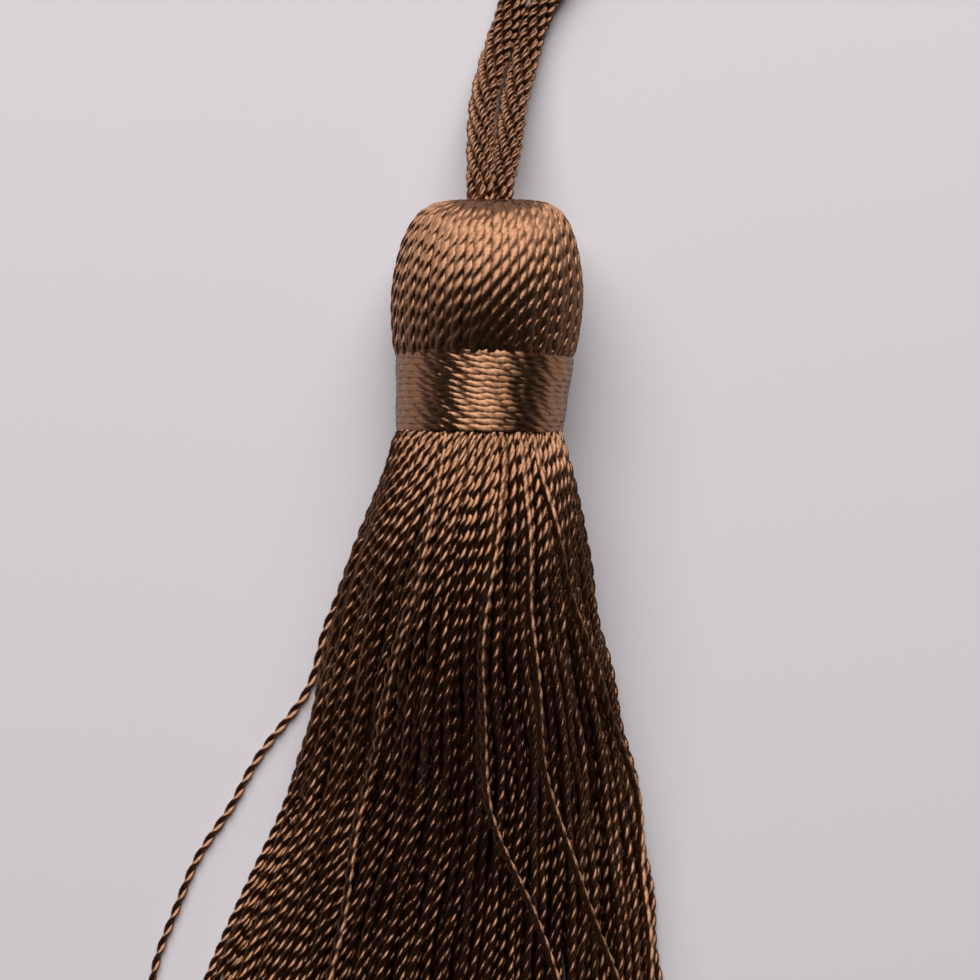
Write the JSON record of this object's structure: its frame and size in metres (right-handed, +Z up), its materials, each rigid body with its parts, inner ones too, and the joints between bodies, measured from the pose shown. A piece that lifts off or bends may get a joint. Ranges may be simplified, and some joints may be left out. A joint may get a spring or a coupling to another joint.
{
  "type": "tassel",
  "caption": "Silky thread tassel lying flat: domed head, bound neck, full skirt of strands and a twisted hanging cord.",
  "frame": {"origin": "middle of the small flat spot under the head, on the surface that the tassel lies on", "axes": "+Y along the tassel's axis from the skirt to the hanging cord, +Z up from the surface"},
  "size_m": [0.0407, 0.1249, 0.0127],
  "materials": {
    "brown_thread": "silky",
    "wrap_thread": "silky",
    "cord_thread": "silky"
  },
  "bodies": {
    "root": {"head_and_skirt": "brown_thread", "neck_wrap": "wrap_thread", "hanging_cord": "cord_thread"}
  },
  "joints": []
}
